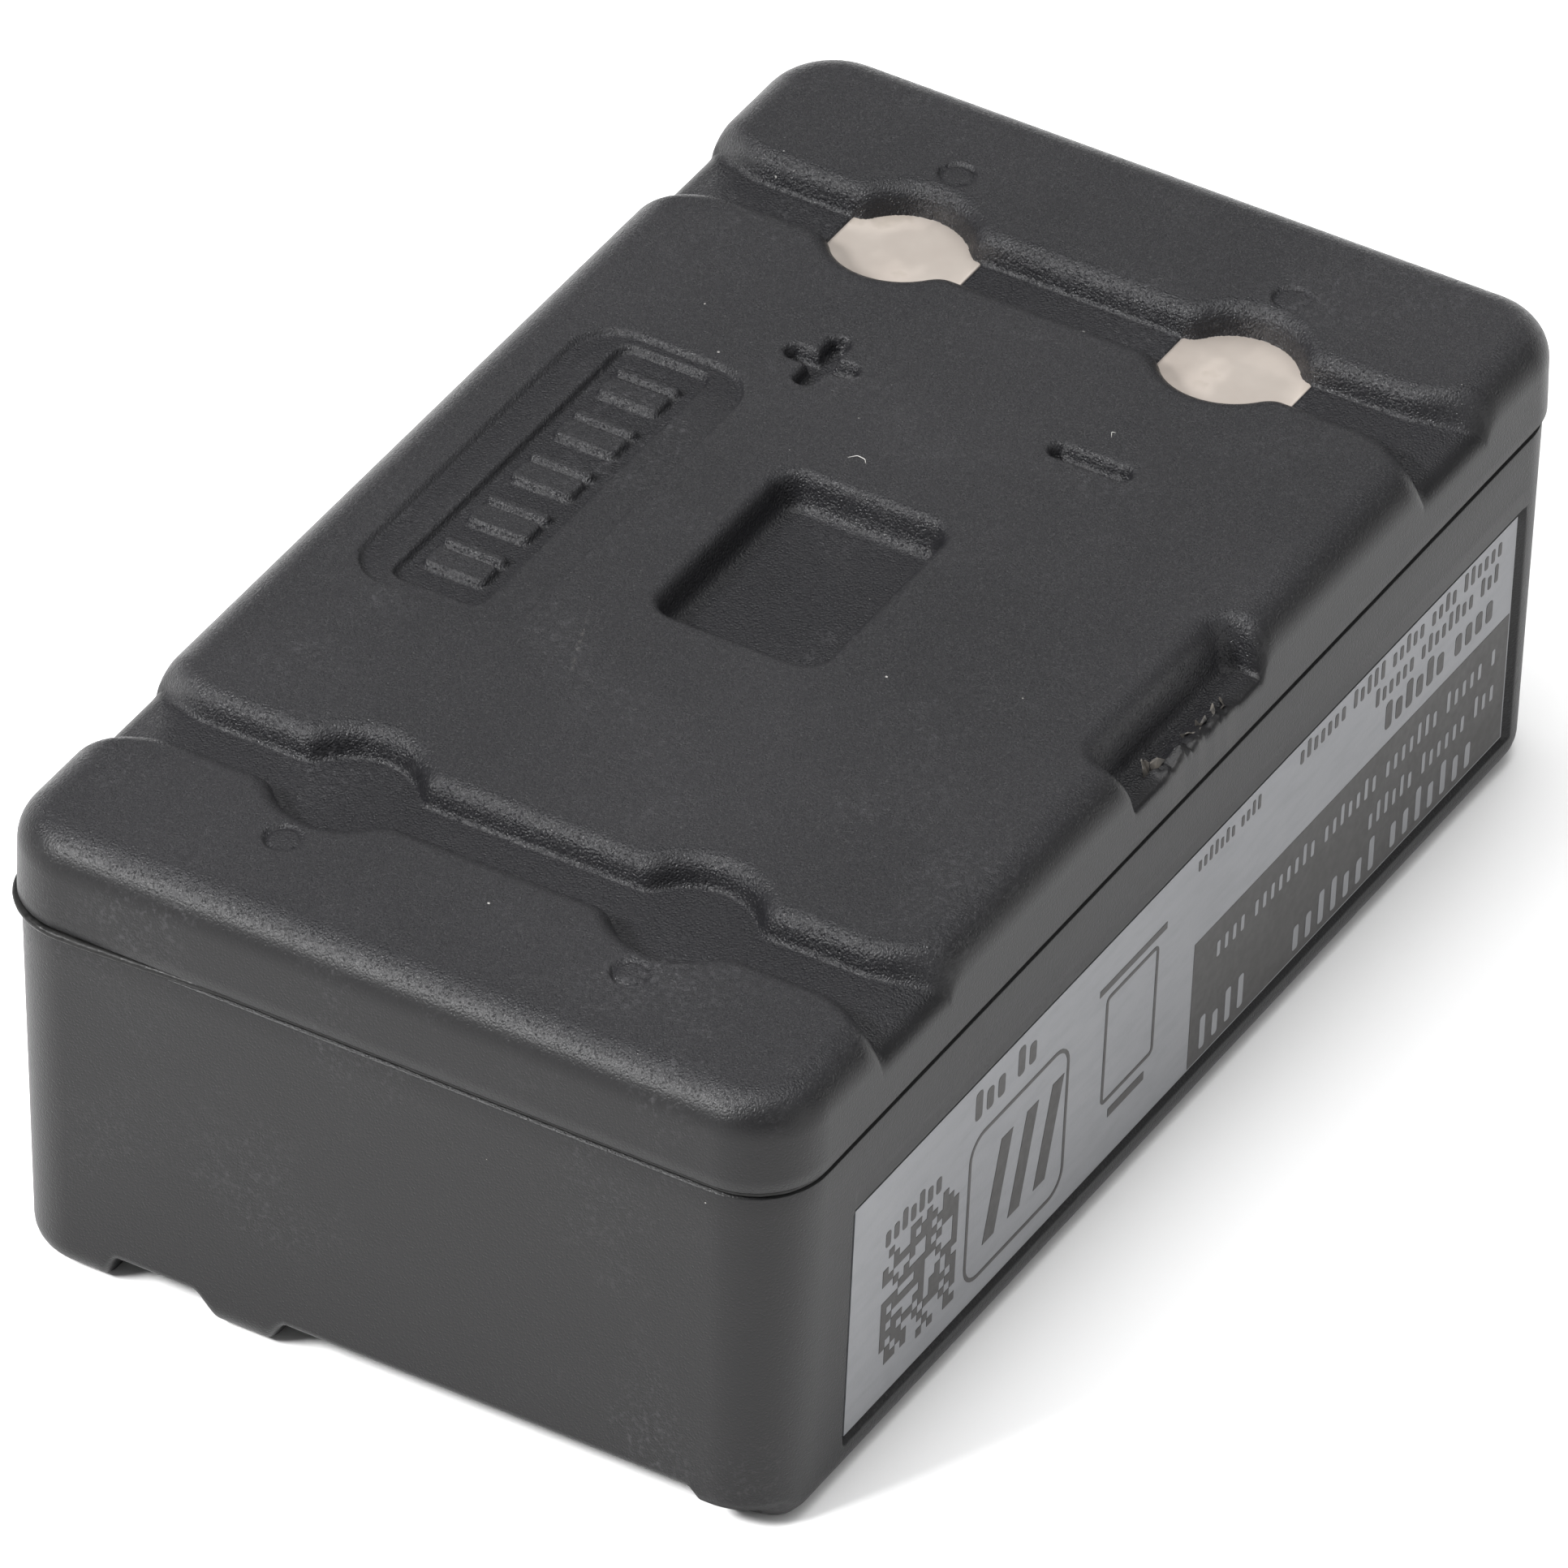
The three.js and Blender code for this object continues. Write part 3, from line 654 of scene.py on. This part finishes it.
def base_z(X, Y, D):
    foot = fil(D, FOOT_R)
    def rail(y0, y1, rc):
        e = np.maximum(y0 - Y, Y - y1)
        t = np.clip(e / rc, 0, 1)
        return t * t * (3 - 2 * t)
    k = np.minimum(rail(14.1, 40, 0.85), np.minimum(rail(6.15, 8.35, 1.2), rail(-40, -15.2, 0.8)))
    # relieved floor meets the end walls with a small lip radius
    flat = LEVEL + fil(D, 0.45)
    # the labelled side's rail is set in at its ends
    nx, ny = outline_normal(X, Y, BHX, BHY, R)
    g = smooth(0.35, 0.95, np.abs(nx)) * (Y < -10)
    d2 = np.maximum(D - 0.75 * g, 0)
    foot = np.where(g > 0, np.maximum(fil(d2, FOOT_R), 0), foot)
    foot = np.minimum(foot, flat * g + foot * (1 - g))
    return np.maximum(foot * (1 - k) + flat * k, 0)


def base_wall(P, N, z):
    t = np.clip(1 - z / RIM, 0, 1)
    q = np.stack(pull_in(P[:, 0], P[:, 1], BHX, BHY, R, DRAFT * t), 1)
    # label recess
    on = (P[:, 1] < -BHY + 0.01)
    e = sd_rr(P[:, 0], z, (LX0 + LX1) / 2, (LZ0 + LZ1) / 2, (LX1 - LX0) / 2, (LZ1 - LZ0) / 2, 0.25)
    q[:, 1] += on * 0.46 * smooth(0.03, -0.03, e)
    # small edge break under the joint
    q -= N * (0.02 * np.clip((z - (RIM - 0.1)) / 0.1, 0, 1))[:, None]
    return q


def base_masks(X, Y, Z, D, top):
    n = len(X)
    return np.stack([np.ones(n), np.zeros(n), np.zeros(n)], 1)


lv = [1.6, LZ0 - 0.04, LZ0 + 0.04, 2.4, 4.0, 6.0, 8.0, 10.0, 12.0, 13.4, LZ1 - 0.04, LZ1 + 0.04, 15.5, 16.8, RIM - 0.1, RIM - 0.03, RIM]
base = shell("base_tub", gx, gy, BHX, BHY, R, base_z, lv, base_wall, 1.5, 2.9, False, MAT_CASE, base_masks)
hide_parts("housing_base")


# ------------------------------------------------------------------ sealing bead, swept round the joint
def outline(hx, hy, r, step=0.35):
    pts = []
    for cx, cy, a0 in ((hx - r, -(hy - r), -90), (hx - r, hy - r, 0), (-(hx - r), hy - r, 90), (-(hx - r), -(hy - r), 180)):
        a = np.radians(a0 + np.linspace(0, 90, 19))
        pts.append(np.stack([cx + r * np.cos(a), cy + r * np.sin(a)], 1))
    full = []
    for k in range(4):
        full.append(pts[k])
        a, b = pts[k][-1], pts[(k + 1) % 4][0]
        m = max(2, int(np.linalg.norm(b - a) / step))
        full.append(a + (b - a) * (np.arange(1, m) / m)[:, None])
    return np.concatenate(full)


P = outline(SHX, SHY, 3.45)
N = outward(P)
zc = (CB + RIM) / 2
hz = (CB - RIM) / 2 - 0.02
sec = [(-1.2, -hz), (-0.32, -hz), (-0.12, -hz * 0.92), (-0.03, -hz * 0.55), (0.0, 0.0), (-0.03, hz * 0.55), (-0.12, hz * 0.92), (-0.32, hz), (-1.2, hz)]
V, F = [], []
s = np.arange(len(P))
wob = 0.05 * (lattice(P[:, 0], P[:, 1], 51, 1.3) - 0.5) + 0.03 * (lattice(P[:, 0], P[:, 1], 52, 0.5) - 0.5)
corner = smooth(-24.0, -30.5, P[:, 0]) * smooth(6.0, 16.0, P[:, 1])
for o, z in sec:
    off = o + (wob * 0.6 - 0.16 + 0.42 * corner) * (1 if o > -0.4 else 0)
    V.append(np.stack([P[:, 0] + N[:, 0] * off, P[:, 1] + N[:, 1] * off, np.full(len(P), zc + z)], 1))
n, k = len(P), len(sec)
for a in range(k):
    b = (a + 1) % k
    i = np.arange(n)
    F.append(np.stack([a * n + i, a * n + (i + 1) % n, b * n + (i + 1) % n, b * n + i], 1))
bead = make("seam_bead", np.concatenate(V), np.concatenate(F), MAT_SEAL)
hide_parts("seam_seal")

# ------------------------------------------------------------------ contact plates
for tag, sy in (("pos", SY0 + SY), ("neg", SY0 - SY)):
    # outline of the opening, carried a little under the channel's walls
    a = np.linspace(0, 2 * math.pi, 144, endpoint=False)
    ux, uy = np.cos(a), np.sin(a)
    t1 = np.full_like(a, 3.15)
    hx, hy = 1.75, 3.2
    t2 = np.minimum(hx / np.maximum(np.abs(ux), 1e-6), hy / np.maximum(np.abs(uy), 1e-6))
    t = np.maximum(np.where(np.abs(uy * t1) <= hy, t1, hy / np.maximum(np.abs(uy), 1e-6)), t2)
    ringp = np.stack([CX + ux * t, sy + uy * t], 1)
    V, F = [], []
    steps = [(1.0, CH_Z - 0.9), (1.0, CH_Z - 0.05), (0.985, CH_Z - 0.012), (0.95, CH_Z - 0.006), (0.75, CH_Z - 0.005), (0.45, CH_Z - 0.004), (0.15, CH_Z - 0.004)]
    c = np.array([CX, sy])
    for f, z in steps:
        q = c + (ringp - c) * f
        dz = 0.006 * (lattice(q[:, 0], q[:, 1], 61, 1.6) - 0.5) if z > CH_Z - 0.006 else 0
        V.append(np.stack([q[:, 0], q[:, 1], np.full(len(q), z) + dz], 1))
    m = len(ringp)
    for b in range(len(steps) - 1):
        i = np.arange(m)
        F += np.stack([b * m + i, b * m + (i + 1) % m, (b + 1) * m + (i + 1) % m, (b + 1) * m + i], 1).tolist()
    F.append(list(range((len(steps) - 1) * m, len(steps) * m)))
    F.append(list(range(m - 1, -1, -1)))
    base_n = len(steps) * m
    ob = make("contact_" + tag, np.concatenate(V), F, MAT_CONTACT)
    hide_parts("contact_plate_" + tag)

# ------------------------------------------------------------------ label print, thin raised ink on the film
Y_TOP, Y_BOT = lo_l.y * 1000, hi_l.y * 1000
lz0, lz1 = lo_l.z * 1000, hi_l.z * 1000
lx0, lx1 = lo_l.x * 1000, hi_l.x * 1000
# the label leans with the wall: its face at height z
lean = DRAFT / RIM


def face_y(z):
    return -(BHY - 0.15) + DRAFT * (1 - z / (RIM - 0.1))


def prints(name, shapes, lift, mat):
    """Flat shapes on the label: each is a list of (x, z) points of one outline, in mm, as seen from the front."""
    V, F = [], []
    for pts in shapes:
        n0 = len(V)
        k = len(pts)
        for x, z in pts:
            V.append((x, face_y(z) - lift, z))
        for x, z in pts:
            V.append((x, face_y(z) + 0.004, z))
        F.append([n0 + i for i in range(k)])
        F.append([n0 + k + i for i in range(k - 1, -1, -1)])
        for i in range(k):
            j = (i + 1) % k
            F.append([n0 + i, n0 + k + i, n0 + k + j, n0 + j])
    return make(name, np.array(V), F, mat, False)


def rect(x0, x1, z0, z1, r=0.0, n=4):
    if r <= 0:
        return [(x0, z0), (x1, z0), (x1, z1), (x0, z1)]
    p = []
    for cx, cz, a0 in ((x1 - r, z0 + r, -90), (x1 - r, z1 - r, 0), (x0 + r, z1 - r, 90), (x0 + r, z0 + r, 180)):
        for a in np.radians(a0 + np.linspace(0, 90, n + 1)):
            p.append((cx + r * math.cos(a), cz + r * math.sin(a)))
    return p


def frame_strokes(x0, x1, z0, z1, w, r):
    """An open rounded frame as four bars and four corner arcs."""
    out = [rect(x0 + r, x1 - r, z0, z0 + w), rect(x0 + r, x1 - r, z1 - w, z1), rect(x0, x0 + w, z0 + r, z1 - r), rect(x1 - w, x1, z0 + r, z1 - r)]
    for cx, cz, a0 in ((x1 - r, z0 + r, -90), (x1 - r, z1 - r, 0), (x0 + r, z1 - r, 90), (x0 + r, z0 + r, 180)):
        a = np.radians(a0 + np.linspace(0, 90, 7))
        o = [(cx + r * math.cos(t), cz + r * math.sin(t)) for t in a]
        i = [(cx + (r - w) * math.cos(t), cz + (r - w) * math.sin(t)) for t in a[::-1]]
        out.append(o + i)
    return out


def greek(x0, x1, z0, h, seed, word=(3, 8), weight=0.5):
    """A greeked line: short plain strokes in word groups, never letters."""
    g = np.random.default_rng(seed)
    out, x = [], x0
    w = h * 0.62
    while x < x1 - w:
        for _ in range(int(g.integers(*word))):
            if x > x1 - w:
                break
            top = h * (1.0 if g.random() < 0.35 else 0.74)
            out.append(rect(x, x + w * weight, z0, z0 + top, w * weight * 0.3, 2))
            x += w
        x += w * 0.75
    return out


# dark panel over the lower half of the far part
dark = [rect(1.7, lx1 - 0.1, lz0 + 0.08, 8.9)]
ink = []
# plain tile pattern that encodes nothing
tile = 0.44
g = np.random.default_rng(5)
for i in range(14):
    for j in range(15):
        if g.random() < 0.5:
            ink.append(rect(-24.0 + i * tile, -24.0 + (i + 1) * tile, 3.3 + j * tile, 3.3 + (j + 1) * tile))
ink += greek(-23.9, -18.4, 10.2, 1.1, 1, (7, 8), 0.6)
# rounded frame with three plain slanted bars
ink += frame_strokes(-17.1, -8.85, 3.05, 11.1, 0.2, 1.2)
for k in range(3):
    bx = -15.6 + k * 2.1
    ink.append([(bx, 4.6), (bx + 0.95, 4.6), (bx + 2.15, 9.5), (bx + 1.2, 9.5)])
ink += greek(-16.8, -10.0, 12.0, 1.5, 3, (2, 4), 0.6)
# upright plain outline with a bar above and below
ink += frame_strokes(-5.9, -1.5, 5.3, 11.2, 0.2, 0.35)
ink.append(rect(-6.5, -0.9, 11.6, 11.95))
ink.append(rect(-5.2, -2.2, 4.3, 4.75))
# small lines above the dark panel
ink += greek(1.6, 7.3, 12.9, 0.75, 7, (5, 8), 0.5)
ink += greek(10.2, 28.2, 12.9, 0.95, 8, (4, 9), 0.5)
ink += greek(16.8, 28.2, 11.6, 0.95, 9, (4, 9), 0.5)
ink += greek(17.8, 28.1, 9.7, 1.45, 10, (5, 7), 0.62)
light = []
light += greek(2.6, 7.2, 2.6, 1.75, 12, (4, 5), 0.42)
light += greek(10.6, 28.2, 2.5, 1.75, 13, (5, 8), 0.42)
light += greek(3.7, 28.3, 6.9, 1.1, 14, (4, 9), 0.4)
light += greek(16.9, 28.3, 4.9, 1.1, 15, (4, 7), 0.4)
prints("label_print", dark, 0.012, MAT_INK)
prints("label_marks", ink, 0.014, MAT_INK)
prints("label_reversed_marks", light, 0.022, MAT_INK_LIGHT)

# ------------------------------------------------------------------ torn flakes on the notch's lip
def flake(name, pts, thick, seed):
    """A thin curled sliver of torn moulding."""
    g = np.random.default_rng(seed)
    pts = np.array(pts, float)
    k = len(pts)
    V = []
    for s_ in (-1, 1):
        for p in pts:
            V.append(p + np.array([0, s_ * thick / 2, 0]) + g.normal(0, 0.015, 3))
    F = [list(range(k)), list(range(2 * k - 1, k - 1, -1))]
    for i in range(k):
        j = (i + 1) % k
        F.append([i, k + i, k + j, j])
    return V, F


V, F = [], []
def add_flake(pts, thick, seed):
    global V, F
    v, f = flake("f", pts, thick, seed)
    n0 = len(V)
    V += v
    F += [[a + n0 for a in q] for q in f]


zl = DECK - 2.35
for sd, (fx, fy, h, wd) in enumerate([(-2.35, -18.3, 0.7, 0.42), (-1.75, -18.45, 0.5, 0.62), (0.9, -18.55, 0.3, 0.8), (1.75, -18.5, 0.45, 0.6), (2.6, -18.55, 0.28, 0.8), (3.4, -18.6, 0.22, 0.6)]):
    g = np.random.default_rng(70 + sd)
    top = [(fx - wd / 2 + wd * t, fy + 0.25 * math.sin(3 * t + sd), zl + h * (0.45 + 0.55 * g.random())) for t in np.linspace(1, 0, 7)]
    add_flake([(fx - wd / 2, fy, zl - 0.2), (fx + wd / 2, fy, zl - 0.2)] + top, 0.05, 80 + sd)
burr = make("lip_burr", np.array([list(v) for v in V]), F, MAT_BURR, False)

# ------------------------------------------------------------------ two settled fibres
def fibre(name, pts, r):
    pts = np.array(pts, float)
    t = np.linspace(0, 1, 22)
    u = np.linspace(0, 1, len(pts))
    path = np.stack([np.interp(t, u, pts[:, c]) for c in range(3)], 1)
    for _ in range(2):
        path[1:-1] = (path[:-2] + path[1:-1] * 2 + path[2:]) / 4
    V, F = [], []
    for i, p in enumerate(path):
        d = path[min(i + 1, len(path) - 1)] - path[max(i - 1, 0)]
        d /= np.linalg.norm(d)
        a = np.cross(d, [0, 0, 1.0])
        a /= max(np.linalg.norm(a), 1e-6)
        b = np.cross(a, d)
        rr_ = r * (0.35 + 0.65 * math.sin(math.pi * (i + 0.6) / (len(path) + 0.2)))
        for k in range(6):
            c, s_ = math.cos(k * math.pi / 3), math.sin(k * math.pi / 3)
            V.append(p + (a * c + b * s_) * rr_)
    n = len(path)
    for i in range(n - 1):
        for k in range(6):
            F.append([i * 6 + k, i * 6 + (k + 1) % 6, (i + 1) * 6 + (k + 1) % 6, (i + 1) * 6 + k])
    F.append(list(range(5, -1, -1)))
    F.append([(n - 1) * 6 + k for k in range(6)])
    return make(name, np.array(V), F, MAT_FIBRE)


MAT_FIBRE = simple("lint", (0.42, 0.41, 0.39), (0.55, 0.54, 0.52), 0.8, 0.95, scale=4000, bump=0.1, dist=0.00001)
fibre("lint_a", [(7.1, 1.75, DECK + 0.03), (7.4, 1.45, DECK + 0.06), (7.35, 1.05, DECK + 0.05), (7.15, 0.9, DECK + 0.03)], 0.016)
fibre("lint_b", [(14.25, -6.95, DECK + 0.02), (14.55, -6.78, DECK + 0.04), (14.62, -6.95, DECK + 0.03)], 0.013)

# ------------------------------------------------------------------ stage, light, camera
def stage_floor():
    n = Nodes("floor_white")
    f = n.noise(6, 2)
    n.set(color=n.mix(f, (0.86, 0.86, 0.86), (0.88, 0.88, 0.88)), rough=0.85)
    me = bpy.data.meshes.new("floor")
    # round sheet that turns up gently at its rim
    prof = [(0.35, 0.0), (0.8, 0.0), (1.25, 0.0)]
    prof += [(1.25 + 0.42 * math.sin(t), 0.42 * (1 - math.cos(t))) for t in np.linspace(0.12, 1.35, 12)]
    k = 96
    V = [(0.0, 0.0, 0.0)]
    for r, z in prof:
        V += [(r * math.cos(2 * math.pi * i / k), r * math.sin(2 * math.pi * i / k), z) for i in range(k)]
    F = [(0, 1 + i, 1 + (i + 1) % k) for i in range(k)]
    for j in range(len(prof) - 1):
        p = 1 + j * k
        F += [(p + i, p + k + i, p + k + (i + 1) % k, p + (i + 1) % k) for i in range(k)]
    me.from_pydata(V, [], F)
    me.polygons.foreach_set("use_smooth", [True] * len(me.polygons))
    ob = bpy.data.objects.new("floor", me)
    ob.location.z = -0.00002
    bpy.context.scene.collection.objects.link(ob)
    me.materials.append(n.mat)
    ob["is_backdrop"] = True


stage_floor()

CR = Vector((0.51249745, -0.85851238, 0.01740302))
CU = Vector((0.52040333, 0.32665328, 0.78897275))
CF = Vector((0.68302763, 0.39528993, -0.61418167))
cam_d = bpy.data.cameras.new("camera")
cam = bpy.data.objects.new("camera", cam_d)
bpy.context.scene.collection.objects.link(cam)
m = Matrix((CR, CU, -CF)).transposed().to_4x4()
m.translation = Vector((-0.56142788651, -0.32452348321, 0.51553105532))
cam.matrix_world = m
cam_d.sensor_width = 36
cam_d.lens = 446.9867930733939
cam_d.clip_start = 0.01
cam_d.clip_end = 20
bpy.context.scene.camera = cam


def area(name, direction, dist, size, power, color=(1, 1, 1), size_y=None):
    l = bpy.data.lights.new(name, "AREA")
    l.shape = "RECTANGLE"
    l.size = size
    l.size_y = size_y or size
    l.energy = power
    l.color = color
    o = bpy.data.objects.new(name, l)
    bpy.context.scene.collection.objects.link(o)
    v = Vector(direction).normalized()
    o.location = v * dist + Vector((0, 0, 0.01))
    o.rotation_euler = (-v).to_track_quat("-Z", "Y").to_euler()
    return o


area("key", (-0.64, 0.42, 0.65), 0.9, 0.30, 15.0, size_y=0.16)
area("fill", (0.05, -0.92, 0.26), 1.2, 0.7, 3.6)
area("top", (0.05, 0.05, 1.0), 1.2, 0.8, 10.0)

world = bpy.data.worlds.new("world")
bpy.context.scene.world = world
world.use_nodes = True
bg = world.node_tree.nodes["Background"]
bg.inputs["Color"].default_value = (1, 1, 1, 1)
# a bright soft ceiling over a dim room
wt = world.node_tree
tc = wt.nodes.new("ShaderNodeTexCoord")
sx = wt.nodes.new("ShaderNodeSeparateXYZ")
ramp = wt.nodes.new("ShaderNodeValToRGB")
wt.links.new(tc.outputs["Generated"], sx.inputs["Vector"])
wt.links.new(sx.outputs["Z"], ramp.inputs["Fac"])
wt.links.new(ramp.outputs["Color"], bg.inputs["Color"])
ramp.color_ramp.elements[0].position = 0.0
ramp.color_ramp.elements[0].color = (0.05, 0.05, 0.05, 1)
ramp.color_ramp.elements[1].position = 1.0
ramp.color_ramp.elements[1].color = (1.0, 1.0, 1.0, 1)
for pos, v in ((0.32, 0.05), (0.60, 0.20), (0.78, 0.50)):
    el = ramp.color_ramp.elements.new(pos)
    el.color = (v, v, v, 1)
bg.inputs["Strength"].default_value = 1.7
bpy.context.scene.view_settings.view_transform = "Standard"

{"cad": cad_box, "visual": plain(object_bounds())}
